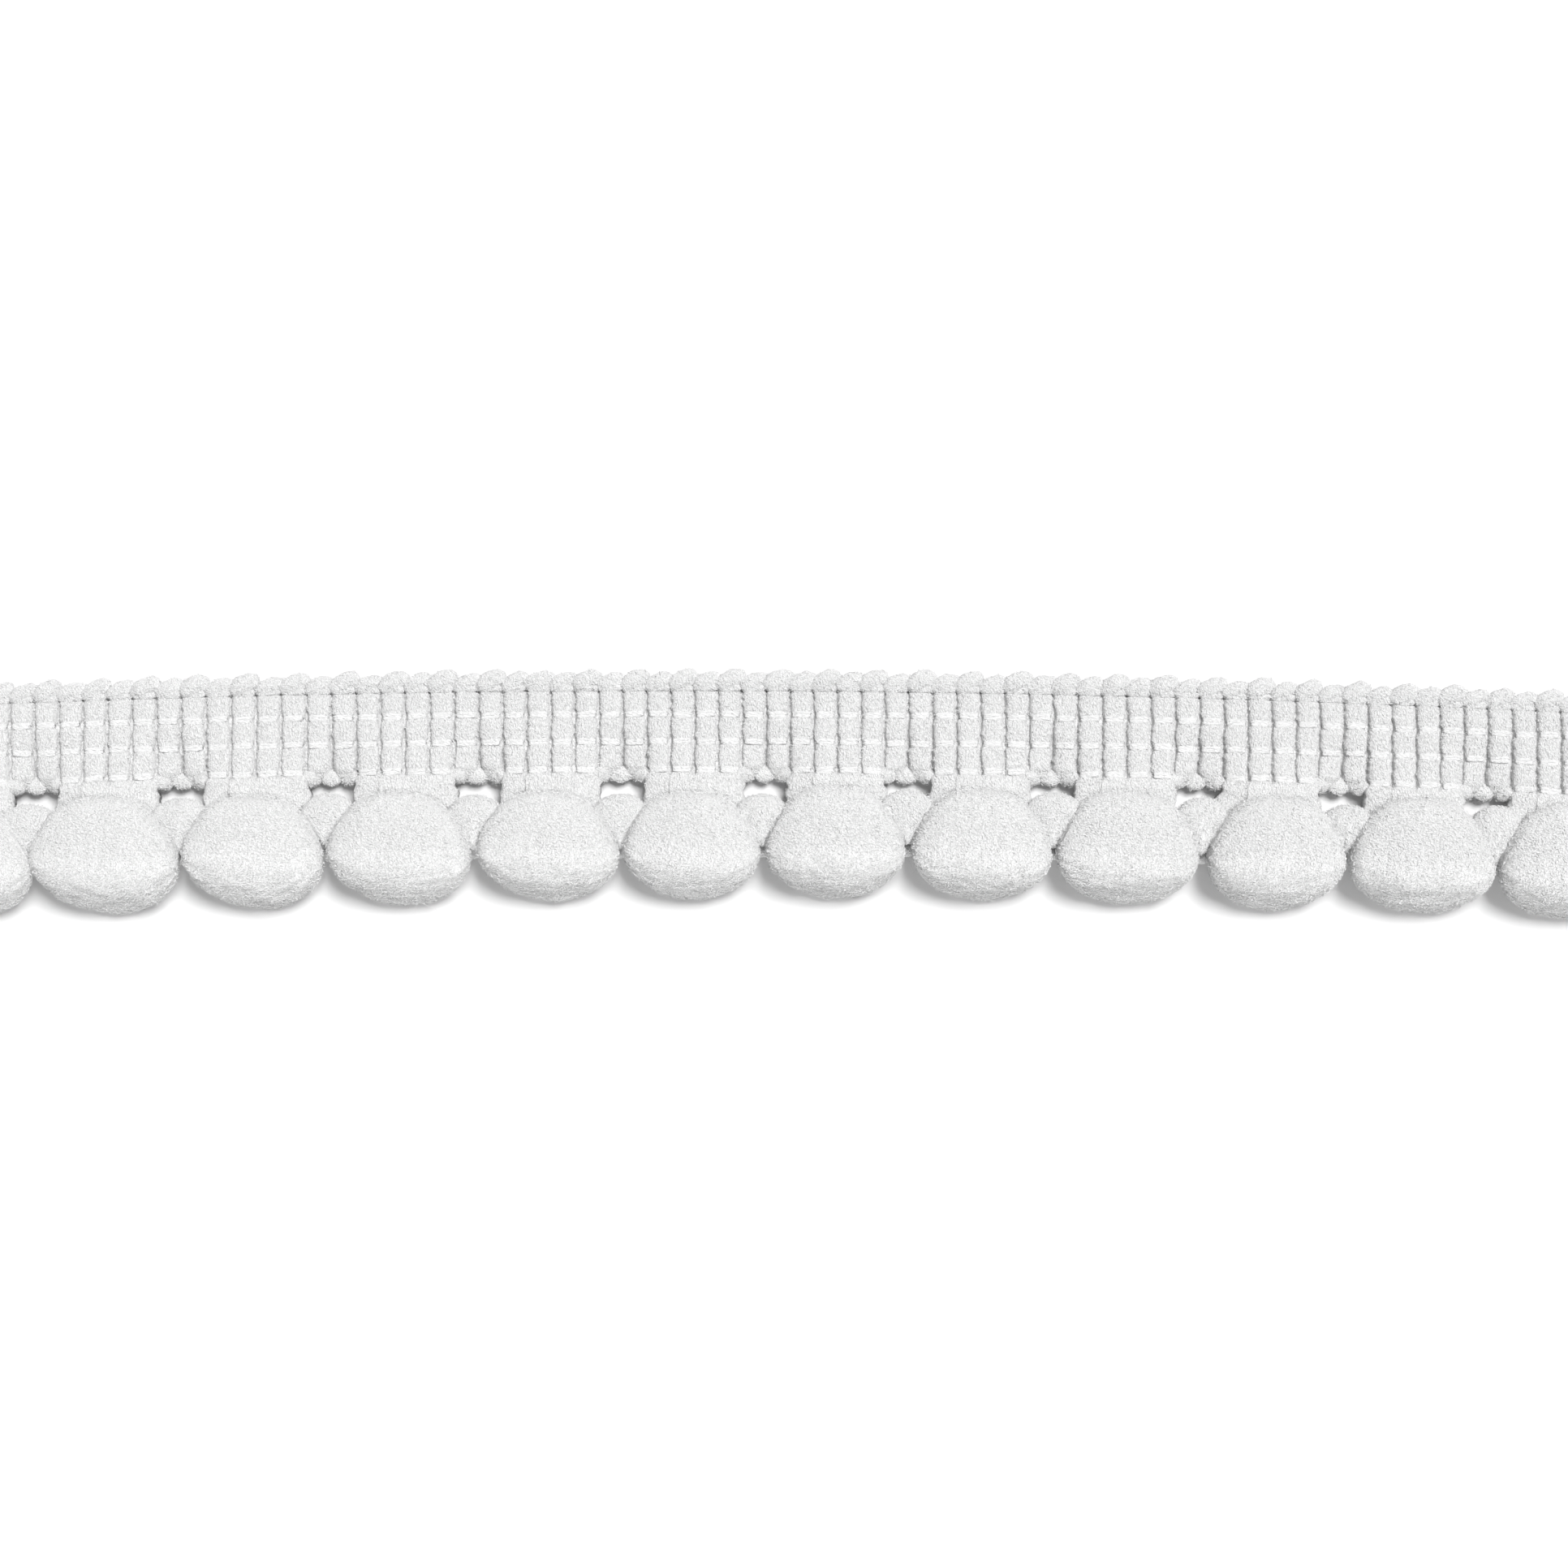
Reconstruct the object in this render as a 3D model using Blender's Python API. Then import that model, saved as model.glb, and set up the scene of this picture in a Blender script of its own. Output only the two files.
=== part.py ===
"""Pompom fringe trim: a cut length of knitted, ribbed heading with a picot edge and a row of puff pompoms.

Metres, +Z up. The trim lies on a table. X runs along it, +Y points across it towards the picot edge,
and the origin is under the middle of the whole length, on the table.

A point of the trim is first given on the straight trim, as s along it, t across it and its height z.
t is 0 at the crevice between the heading and the picot edge, and is negative towards the pompoms.
The function lay() then bends the straight trim into the gentle arch in which it lies.
"""

import math
from collections import namedtuple

import bmesh
import bpy
from mathutils import Matrix, Vector

MM = 0.001

# How the whole trim lies: the middle of its box is measured from the middle of the crevice
ARCH_RADIUS = 1400 * MM
BOX_MIDDLE = (0.27 * MM, -8.28 * MM)
RIBS_PER_REPEAT = 6
CLEARANCE = 0.3 * MM

# Heading: its flat back climbs from the table towards the pompoms
CHAIN_ROWS = (-2.0 * MM, -4.1 * MM, -6.35 * MM)
CHAIN_HALF_GROOVE = 0.38 * MM
CHAIN_FULLNESS = 0.55
HEADING_TOP = -0.15 * MM
HEADING_CORE = 1.05 * MM
RIB_RELIEF = 0.75 * MM
RIB_CREST = (0.3, 0.7)
EDGE_CORE = 0.75
EDGE_FULLNESS = 0.4
BACK_SLOPE = 0.205
BACK_LIFT = 0.1 * MM

# Necks between the heading and the pompoms, and turn loops over the holes between the necks
NECK_CORE = 1.45
NECK_FULLNESS = 0.25
NECK_CLEARANCE = 0.48 * MM
LOOP_REACH = -7.35 * MM
LOOP_NOTCH = -6.9 * MM
LOOP_NOTCH_AT = 0.7

# Picot edge: one slanted turn loop for each rib, every second one wider
PICOT_SIDES = 6
PICOT_INNER = 0.15 * MM
PICOT_HEIGHT = 1.5 * MM
PICOT_WIDE = 1.5 * MM
PICOT_NARROW = 1.15 * MM
PICOT_WAIST = 0.62
PICOT_SLANT = 0.75

# Pompoms: a bundle of loops tied at both ends, so its two tips point along the trim
POMPOM_TIP_LINE = -12.7 * MM
POMPOM_MIDDLE = 3.25 * MM
POMPOM_UPPER = 3.6 * MM
POMPOM_LOWER = 3.45 * MM
POMPOM_SIDES = 16
POMPOM_STEPS = 10

# Small puffs: a short fan of loops that stands on its point between two pompoms
SMALL_MIDDLE = 1.7 * MM
SMALL_UPPER = 3.1 * MM
SMALL_LOWER = 1.9 * MM
SMALL_SIDES = 12
SMALL_STEPS = 8
SMALL_TOP_POWER = 0.6
SMALL_TIP_POWER = 1.4

SHARP_EDGE_DEG = 50
BISECTIONS = 24

# One row for each repeat, from the left, in millimetres. shift moves the pompom along the trim from the
# middle of its repeat, rise and drop are its reach above and below its tips, and tilt turns it clockwise.
Repeat = namedtuple("Repeat", "length shift half_width rise drop tilt_deg")
REPEATS = (
    Repeat(11.46, 0.0, 5.60, 4.6, 4.0, 3.0),
    Repeat(11.58, -0.15, 5.75, 4.8, 4.1, 3.5),
    Repeat(11.90, -0.15, 5.45, 4.6, 4.1, 3.5),
    Repeat(11.65, -0.40, 5.55, 4.6, 4.0, 3.0),
    Repeat(11.39, -0.15, 5.50, 4.5, 3.8, 3.0),
    Repeat(11.33, -0.15, 5.25, 4.5, 3.8, 1.5),
    Repeat(11.26, -0.10, 5.35, 5.0, 3.6, 0.5),
    Repeat(11.46, 0.10, 5.40, 4.9, 3.6, 1.5),
    Repeat(11.58, 0.10, 5.45, 5.0, 3.7, 0.5),
    Repeat(11.39, 0.40, 5.30, 4.9, 3.8, -0.5),
    Repeat(11.39, 0.50, 5.60, 5.2, 3.6, 1.5),
    Repeat(11.52, 0.80, 5.50, 5.2, 3.5, 0.0),
)

# One row for each small puff, from the left, in millimetres. It stands under a hole. shift is measured
# from the middle of the hole, and top and tip are its two ends across the trim.
SmallPuff = namedtuple("SmallPuff", "shift half_width top tip")
SMALL_PUFFS = (
    SmallPuff(-0.45, 2.05, -8.2, -11.9),
    SmallPuff(0.00, 2.10, -8.1, -12.0),
    SmallPuff(-0.25, 1.95, -8.0, -11.8),
    SmallPuff(-0.25, 1.95, -8.3, -12.3),
    SmallPuff(-0.15, 1.95, -8.3, -12.2),
    SmallPuff(-0.25, 1.85, -8.3, -12.0),
    SmallPuff(-0.05, 1.90, -7.9, -11.7),
    SmallPuff(0.10, 2.00, -7.9, -11.8),
    SmallPuff(0.25, 1.80, -8.0, -12.0),
    SmallPuff(0.35, 1.70, -8.2, -11.5),
    SmallPuff(0.75, 1.80, -7.8, -12.0),
)

WHITE_YARN = (0.84, 0.84, 0.84, 1.0)

# A place along the trim where the heading is shaped, counted in ribs from the start of its repeat, and
# a place across it, with the shares of the core and of the rib's relief that the heading has there
Station = namedtuple("Station", "s repeat ribs crest")
Row = namedtuple("Row", "t core fullness")


def repeat_starts():
    """Where each repeat starts along the trim, with the end of the last one after them. The middle is 0."""
    lengths = [row.length * MM for row in REPEATS]
    starts = [-sum(lengths) / 2]
    for length in lengths:
        starts.append(starts[-1] + length)
    return starts


STARTS = repeat_starts()


def lay(s, t, z):
    """A point of the straight trim, placed on the arch in which the trim lies."""
    angle = s / ARCH_RADIUS
    reach = ARCH_RADIUS + t
    x = reach * math.sin(angle) - BOX_MIDDLE[0]
    y = reach * math.cos(angle) - ARCH_RADIUS - BOX_MIDDLE[1]
    return Vector((x, y, z))


def back_height(point):
    """Height of the heading's flat back, which climbs from the table towards the pompoms."""
    return BACK_LIFT - BACK_SLOPE * (point.y + BOX_MIDDLE[1])


def dome(u):
    """Outline of a pompom's upper side, 1 in the middle and 0 at its tips at u = -1 and 1."""
    return max(0.0, 1 - abs(u) ** 3) ** 0.8


def bowl(u):
    """Outline of a pompom's lower side, on the same scale."""
    return max(0.0, 1 - u * u) ** 0.52


def pompom_plan(index, u, across):
    """A point of a pompom seen from above: u runs along it from tip to tip, across from its lower side at -1
    to its upper side at 1."""
    row = REPEATS[index]
    middle = (STARTS[index] + STARTS[index + 1]) / 2 + row.shift * MM
    along = u * row.half_width * MM
    reach = row.rise * dome(u) if across > 0 else row.drop * bowl(u)
    t = POMPOM_TIP_LINE + across * reach * MM - along * math.tan(math.radians(row.tilt_deg))
    return middle + along, t


def pompom_side(index, side, t):
    """Where a pompom's upper outline is along the trim at t, on its left for side -1 and its right for 1."""
    inner, outer = 0.0, 1.0
    for _ in range(BISECTIONS):
        middle = (inner + outer) / 2
        if pompom_plan(index, side * middle, 1)[1] > t:
            inner = middle
        else:
            outer = middle
    return pompom_plan(index, side * outer, 1)[0]


def yarn_material(name, roughness):
    """A matt white yarn."""
    material = bpy.data.materials.new(name)
    material.use_nodes = True
    shader = material.node_tree.nodes["Principled BSDF"]
    shader.inputs["Base Color"].default_value = WHITE_YARN
    shader.inputs["Roughness"].default_value = roughness
    shader.inputs["Metallic"].default_value = 0.0
    return material


def add_object(name, bm, material):
    """Turns a bmesh into a finished object of the scene."""
    bmesh.ops.recalc_face_normals(bm, faces=bm.faces)
    mesh = bpy.data.meshes.new(name)
    bm.to_mesh(mesh)
    bm.free()
    mesh.shade_smooth()
    mesh.set_sharp_from_angle(angle=math.radians(SHARP_EDGE_DEG))
    mesh.materials.append(material)
    bpy.context.scene.collection.objects.link(bpy.data.objects.new(name, mesh))


def flat_grid(columns, rows):
    """A flat bmesh grid, with its vertices listed as [column][row]."""
    bm = bmesh.new()
    made = bmesh.ops.create_grid(bm, x_segments=columns - 1, y_segments=rows - 1, size=1)
    table = [[None] * rows for _ in range(columns)]
    for vert in made["verts"]:
        column = round((vert.co.x + 1) / 2 * (columns - 1))
        row = round((vert.co.y + 1) / 2 * (rows - 1))
        table[column][row] = vert
    return bm, table


def rib_stations():
    """The stations along the heading: each rib starts in a gap and has a flat crest."""
    stations = []
    for index, row in enumerate(REPEATS):
        pitch = row.length * MM / RIBS_PER_REPEAT
        for rib in range(RIBS_PER_REPEAT):
            stations.append(Station(STARTS[index] + rib * pitch, index, rib, False))
            for share in RIB_CREST:
                stations.append(Station(STARTS[index] + (rib + share) * pitch, index, rib + share, True))
    stations.append(Station(STARTS[-1], len(REPEATS) - 1, RIBS_PER_REPEAT, False))
    return stations


def ribs_from_hole(station):
    """How many ribs away the middle of the nearest hole is."""
    return min(station.ribs, RIBS_PER_REPEAT - station.ribs)


def lower_edge(station):
    """Where the heading ends: on the turn loops over a hole, or close to the pompom under a neck."""
    if ribs_from_hole(station) <= 1:
        notched = abs(ribs_from_hole(station) - LOOP_NOTCH_AT) < 0.1
        return LOOP_NOTCH if notched else LOOP_REACH
    repeat = REPEATS[station.repeat]
    middle = (STARTS[station.repeat] + STARTS[station.repeat + 1]) / 2 + repeat.shift * MM
    u = (station.s - middle) / (repeat.half_width * MM)
    return pompom_plan(station.repeat, u, 1)[1] + NECK_CLEARANCE


def heading_rows(station):
    """The rows across the heading at a station, from its far edge to its lower edge."""
    rows = [Row(HEADING_TOP, EDGE_CORE, EDGE_FULLNESS)]
    for chain in CHAIN_ROWS:
        rows.append(Row(rows[-1].t - CHAIN_HALF_GROOVE, 1, 1))
        rows.append(Row(chain + CHAIN_HALF_GROOVE, 1, 1))
        rows.append(Row(chain, 1, CHAIN_FULLNESS))
    edge = lower_edge(station)
    is_neck = ribs_from_hole(station) > 1
    core = NECK_CORE if is_neck else 1
    fullness = NECK_FULLNESS if is_neck else 1
    rows.append(Row((CHAIN_ROWS[-1] + edge) / 2, core, fullness))
    rows.append(Row(edge, core * EDGE_CORE, fullness * EDGE_FULLNESS))
    return rows


def heading():
    """The ribbed band, its turn loops and its necks, as one sheet with a flat back."""
    stations = rib_stations()
    row_count = len(heading_rows(stations[0]))
    bm, table = flat_grid(len(stations), row_count)
    for column, station in zip(table, stations):
        for vert, row in zip(column, heading_rows(station)):
            relief = RIB_RELIEF * row.fullness if station.crest else 0
            vert.co = lay(station.s, row.t, 0)
            vert.co.z = back_height(vert.co) + HEADING_CORE * row.core + relief
    rims = [
        bm.edges.get((left[row], right[row]))
        for left, right in zip(table, table[1:])
        for row in (0, row_count - 1)
    ]
    walls = bmesh.ops.extrude_edge_only(bm, edges=rims)["geom"]
    feet = [item for item in walls if isinstance(item, bmesh.types.BMVert)]
    for vert in feet:
        vert.co.z = back_height(vert.co)
    foot_edges = [
        item
        for item in walls
        if isinstance(item, bmesh.types.BMEdge) and all(vert in feet for vert in item.verts)
    ]
    bmesh.ops.bridge_loops(bm, edges=foot_edges)
    bmesh.ops.holes_fill(bm, edges=bm.edges, sides=0)
    return bm


def picot_edge():
    """The row of slanted turn loops, like a twisted cord along the far edge, with a flat underside."""
    stations = rib_stations()
    bm, table = flat_grid(len(stations), PICOT_SIDES + 1)
    top_of_side = math.sin(math.tau / PICOT_SIDES)
    for column, station in zip(table, stations):
        width = PICOT_WIDE if int(station.ribs) % 2 == 0 else PICOT_NARROW
        height = PICOT_HEIGHT
        if not station.crest:
            width = PICOT_NARROW * PICOT_WAIST
            height = PICOT_HEIGHT * PICOT_WAIST
        for side, vert in enumerate(column):
            angle = math.tau * side / PICOT_SIDES
            across = width * (1 + math.cos(angle)) / 2
            up = height * (1 + math.sin(angle) / top_of_side) / 2
            vert.co = lay(station.s + PICOT_SLANT * across, PICOT_INNER + across, up)
    bmesh.ops.remove_doubles(bm, verts=bm.verts, dist=0.001 * MM)
    bmesh.ops.holes_fill(bm, edges=bm.edges, sides=0)
    return bm


def unit_ball(sides, steps, turn):
    """A ball of radius 1 with its poles on the axis that turn gives its own Z."""
    bm = bmesh.new()
    bmesh.ops.create_uvsphere(bm, u_segments=sides, v_segments=steps, radius=1, matrix=turn)
    return bm


def share_of_ring(part, pole):
    """A ball point's place on its ring, from -1 to 1, where pole is its place between the poles."""
    ring = math.sqrt(max(0.0, 1 - pole * pole))
    return part / ring if ring > 0.001 else 0.0


def pompom(index):
    """A puff with pointed ends along the trim, a domed upper side, a bowl below and a small flat foot."""
    bm = unit_ball(POMPOM_SIDES, POMPOM_STEPS, Matrix.Rotation(math.radians(90), 4, "Y"))
    for vert in bm.verts:
        u = max(-1.0, min(1.0, vert.co.x))
        across = share_of_ring(vert.co.y, u)
        up = share_of_ring(vert.co.z, u)
        bulge = POMPOM_UPPER if up > 0 else POMPOM_LOWER
        height = POMPOM_MIDDLE + up * bulge * bowl(u)
        vert.co = lay(*pompom_plan(index, u, across), max(height, 0))
    return bm


def small_puff(index):
    """A short fan of loops: round at its top, drawn to a point at its tip, and kept clear of the pompoms."""
    row = SMALL_PUFFS[index]
    bm = unit_ball(SMALL_SIDES, SMALL_STEPS, Matrix.Rotation(math.radians(-90), 4, "X"))
    widest = SMALL_TOP_POWER / (SMALL_TOP_POWER + SMALL_TIP_POWER)
    fullest = widest**SMALL_TOP_POWER * (1 - widest) ** SMALL_TIP_POWER
    for vert in bm.verts:
        down = max(0.0, min(1.0, (1 - vert.co.y) / 2))
        along = share_of_ring(vert.co.x, vert.co.y)
        up = share_of_ring(vert.co.z, vert.co.y)
        fill = down**SMALL_TOP_POWER * (1 - down) ** SMALL_TIP_POWER / fullest
        bulge = SMALL_UPPER if up > 0 else SMALL_LOWER
        t = (row.top + (row.tip - row.top) * down) * MM
        s = STARTS[index + 1] + row.shift * MM + along * fill * row.half_width * MM
        s = max(s, pompom_side(index, 1, t) + CLEARANCE)
        s = min(s, pompom_side(index + 1, -1, t) - CLEARANCE)
        vert.co = lay(s, t, max(SMALL_MIDDLE + up * fill * bulge, 0))
    return bm


def main():
    """Builds the trim."""
    for old in list(bpy.data.objects):
        bpy.data.objects.remove(old)
    add_object("heading", heading(), yarn_material("white knitted polyester", 0.85))
    add_object("picot_edge", picot_edge(), yarn_material("white looped polyester", 0.9))
    puffed = yarn_material("white puffed polyester", 0.95)
    for index in range(len(REPEATS)):
        add_object(f"pompom_{index + 1:02d}", pompom(index), puffed)
    fanned = yarn_material("white fanned polyester", 0.92)
    for index in range(len(SMALL_PUFFS)):
        add_object(f"small_puff_{index + 1:02d}", small_puff(index), fanned)


main()
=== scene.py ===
"""Pompom fringe trim: a knitted ribbed heading with a picot edge and a row of puff pompoms, dressed.

Every shape is first made on the straight trim, in millimetres: s runs along the trim, t across it towards
the picot edge, with 0 in the crevice between the two, and z up from the table. Lie.bend() then lays the
shape on the gentle arch in which the trim lies, in metres.
"""

from __future__ import annotations

import logging
import math
import random
from collections.abc import Iterable
from dataclasses import dataclass, field
from enum import Enum

import bmesh
import bpy
from mathutils import Matrix, Vector, noise


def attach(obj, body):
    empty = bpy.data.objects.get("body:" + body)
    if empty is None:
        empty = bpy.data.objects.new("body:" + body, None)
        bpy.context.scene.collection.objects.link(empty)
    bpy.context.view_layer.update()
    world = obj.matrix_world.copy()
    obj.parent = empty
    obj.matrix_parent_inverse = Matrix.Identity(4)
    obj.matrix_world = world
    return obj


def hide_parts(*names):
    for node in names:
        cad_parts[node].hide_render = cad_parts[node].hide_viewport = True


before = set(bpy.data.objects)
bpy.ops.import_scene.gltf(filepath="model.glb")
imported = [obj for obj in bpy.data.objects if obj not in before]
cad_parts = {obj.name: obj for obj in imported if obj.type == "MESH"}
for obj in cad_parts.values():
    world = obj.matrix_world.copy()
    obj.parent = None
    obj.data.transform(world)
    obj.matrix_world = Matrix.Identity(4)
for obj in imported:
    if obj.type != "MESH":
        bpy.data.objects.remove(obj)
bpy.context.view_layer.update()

log = logging.getLogger("pompom_fringe")

MM = 0.001
RIBS_PER_REPEAT = 6
NOISE_SEED = 20

# Points this near to each other, in millimetres, are merged, and a radius or share below TINY is none.
MERGE_WITHIN = 0.0005
TINY = 0.001


@dataclass(frozen=True)
class Repeat:
    """One repeat of the trim: six ribs and the pompom under them, in millimetres.

    shift moves the pompom along the trim from the middle of its repeat, rise and drop are its reach above
    and below its tips, and tilt_deg turns it clockwise.
    """

    length: float
    shift: float
    half_width: float
    rise: float
    drop: float
    tilt_deg: float


@dataclass(frozen=True)
class Fan:
    """One small puff between two pompoms, in millimetres: shift is measured from the middle of its hole."""

    shift: float
    half_width: float
    top: float
    tip: float


REPEATS = (
    Repeat(11.46, 0.0, 5.60, 4.6, 4.0, 3.0),
    Repeat(11.58, -0.15, 5.75, 4.8, 4.1, 3.5),
    Repeat(11.90, -0.15, 5.45, 4.6, 4.1, 3.5),
    Repeat(11.65, -0.40, 5.55, 4.6, 4.0, 3.0),
    Repeat(11.39, -0.15, 5.50, 4.5, 3.8, 3.0),
    Repeat(11.33, -0.15, 5.25, 4.5, 3.8, 1.5),
    Repeat(11.26, -0.10, 5.35, 5.0, 3.6, 0.5),
    Repeat(11.46, 0.10, 5.40, 4.9, 3.6, 1.5),
    Repeat(11.58, 0.10, 5.45, 5.0, 3.7, 0.5),
    Repeat(11.39, 0.40, 5.30, 4.9, 3.8, -0.5),
    Repeat(11.39, 0.50, 5.60, 5.2, 3.6, 1.5),
    Repeat(11.52, 0.80, 5.50, 5.2, 3.5, 0.0),
)

FANS = (
    Fan(-0.45, 2.05, -8.2, -11.9),
    Fan(0.00, 2.10, -8.1, -12.0),
    Fan(-0.25, 1.95, -8.0, -11.8),
    Fan(-0.25, 1.95, -8.3, -12.3),
    Fan(-0.15, 1.95, -8.3, -12.2),
    Fan(-0.25, 1.85, -8.3, -12.0),
    Fan(-0.05, 1.90, -7.9, -11.7),
    Fan(0.10, 2.00, -7.9, -11.8),
    Fan(0.25, 1.80, -8.0, -12.0),
    Fan(0.35, 1.70, -8.2, -11.5),
    Fan(0.75, 1.80, -7.8, -12.0),
)


class Slot(Enum):
    """The record's material slots."""

    HEADING = "heading_yarn"
    PICOT = "picot_yarn"
    POMPOM = "pompom_yarn"
    PUFF = "puff_yarn"


def smooth(low: float, high: float, value: float) -> float:
    """A smooth step.

    Args:
        low: Where the step starts, at 0.
        high: Where it ends, at 1. It may be lower than low.
        value: Where it is read.

    Returns:
        A share from 0 to 1.
    """
    share = min(1.0, max(0.0, (value - low) / (high - low)))
    return share * share * (3 - 2 * share)


def shares(steps: int) -> list[float]:
    """Evenly spaced shares from 0 to 1."""
    return [step / steps for step in range(steps + 1)]


def linear(code: str) -> tuple[float, float, float, float]:
    """Turns an sRGB hex colour to linear.

    Args:
        code: The colour, such as "#F2F2F2".

    Returns:
        Linear red, green, blue and an alpha of 1.
    """
    channels = [int(code[start : start + 2], 16) / 255 for start in (1, 3, 5)]
    bent = [c / 12.92 if c <= 0.04045 else ((c + 0.055) / 1.055) ** 2.4 for c in channels]
    return bent[0], bent[1], bent[2], 1.0


def add_node(tree: bpy.types.NodeTree, kind: str, inputs: dict | None = None, **settings) -> bpy.types.Node:
    """Adds a node with its settings and links.

    Args:
        tree: The node tree that takes it.
        kind: The node's type name.
        inputs: Its inputs by name or number, each a socket to link or a value.
        **settings: Its properties.

    Returns:
        The new node.
    """
    node = tree.nodes.new(kind)
    for name, value in settings.items():
        setattr(node, name, value)
    for key, value in (inputs or {}).items():
        if isinstance(value, bpy.types.NodeSocket):
            tree.links.new(value, node.inputs[key])
        else:
            node.inputs[key].default_value = value
    return node


def set_sockets(node: bpy.types.Node, values: dict) -> None:
    """Sets a node's inputs, given by name or number, to plain values."""
    for key, value in values.items():
        node.inputs[key].default_value = value


@dataclass(frozen=True)
class Lie:
    """How the trim lies on the table: a gentle arch, with its box's middle on the origin.

    Its back is back_lift high at the crevice and climbs by back_slope towards the pompoms, whose tips lie
    on tip_line. droop is how far it sinks over the holes. All are in millimetres.
    """

    arch_radius: float = 1400.0
    box_middle: tuple[float, float] = (0.27, -8.28)
    back_slope: float = 0.205
    back_lift: float = 0.1
    tip_line: float = -12.7
    droop: float = 1.5

    @property
    def starts(self) -> list[float]:
        """Where each repeat starts along the trim, with the end of the last one."""
        starts = [-sum(row.length for row in REPEATS) / 2]
        for row in REPEATS:
            starts.append(starts[-1] + row.length)
        return starts

    def place(self, point: Vector) -> Vector:
        """Lays a point of the straight trim on the arch.

        Args:
            point: s, t and z in millimetres.

        Returns:
            The point in the part's frame, in metres.
        """
        angle = point.x / self.arch_radius
        reach = self.arch_radius + point.y
        x = reach * math.sin(angle) - self.box_middle[0]
        y = reach * math.cos(angle) - self.arch_radius - self.box_middle[1]
        return Vector((x, y, point.z)) * MM

    def back(self, s: float, t: float) -> float:
        """Finds how high the heading's flat back lies.

        Args:
            s: Where along the trim.
            t: Where across it.

        Returns:
            Its height in millimetres: it climbs towards the pompoms and droops over each hole.
        """
        y = self.place(Vector((s, t, 0))).y / MM + self.box_middle[1]
        from_hole = min(abs(s - start) for start in self.starts)
        drooped = self.droop * smooth(2.7, 1.1, from_hole) * smooth(-1.5, -7.2, t)
        return self.back_lift - self.back_slope * y - drooped

    def pompom_middle(self, index: int) -> float:
        """Where the middle of a pompom is along the trim."""
        return (self.starts[index] + self.starts[index + 1]) / 2 + REPEATS[index].shift

    def pompom_plan(self, index: int, u: float, across: float) -> tuple[float, float]:
        """A point of a pompom seen from above.

        Args:
            index: Which pompom, from the left.
            u: From -1 at its left tip to 1 at its right tip.
            across: From -1 at its lower side to 1 at its upper side.

        Returns:
            s and t.
        """
        row = REPEATS[index]
        along = u * (row.half_width + 0.12)
        dome = max(0.0, 1 - abs(u) ** 3) ** 0.77
        bowl = max(0.0, 1 - u * u) ** 0.48
        reach = row.rise * dome if across > 0 else (row.drop + 0.1) * bowl
        t = self.tip_line + across * reach - along * math.tan(math.radians(row.tilt_deg))
        return self.pompom_middle(index) + along, t

    def pompom_side(self, index: int, side: int, t: float) -> float:
        """Where a pompom's upper outline is along the trim.

        Args:
            index: Which pompom, from the left.
            side: -1 for its left side, 1 for its right side.
            t: Where across the trim.

        Returns:
            s.
        """
        inner, outer = 0.0, 1.0
        for _ in range(20):
            middle = (inner + outer) / 2
            if self.pompom_plan(index, side * middle, 1)[1] > t:
                inner = middle
            else:
                outer = middle
        return self.pompom_plan(index, side * outer, 1)[0]

    def bend(self, bm: bmesh.types.BMesh) -> None:
        """Lays a whole mesh on the arch.

        Args:
            bm: The mesh on the straight trim, in millimetres.
        """
        for vert in bm.verts:
            vert.co = self.place(vert.co)
            vert.co.z = max(vert.co.z, 0.0)


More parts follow.
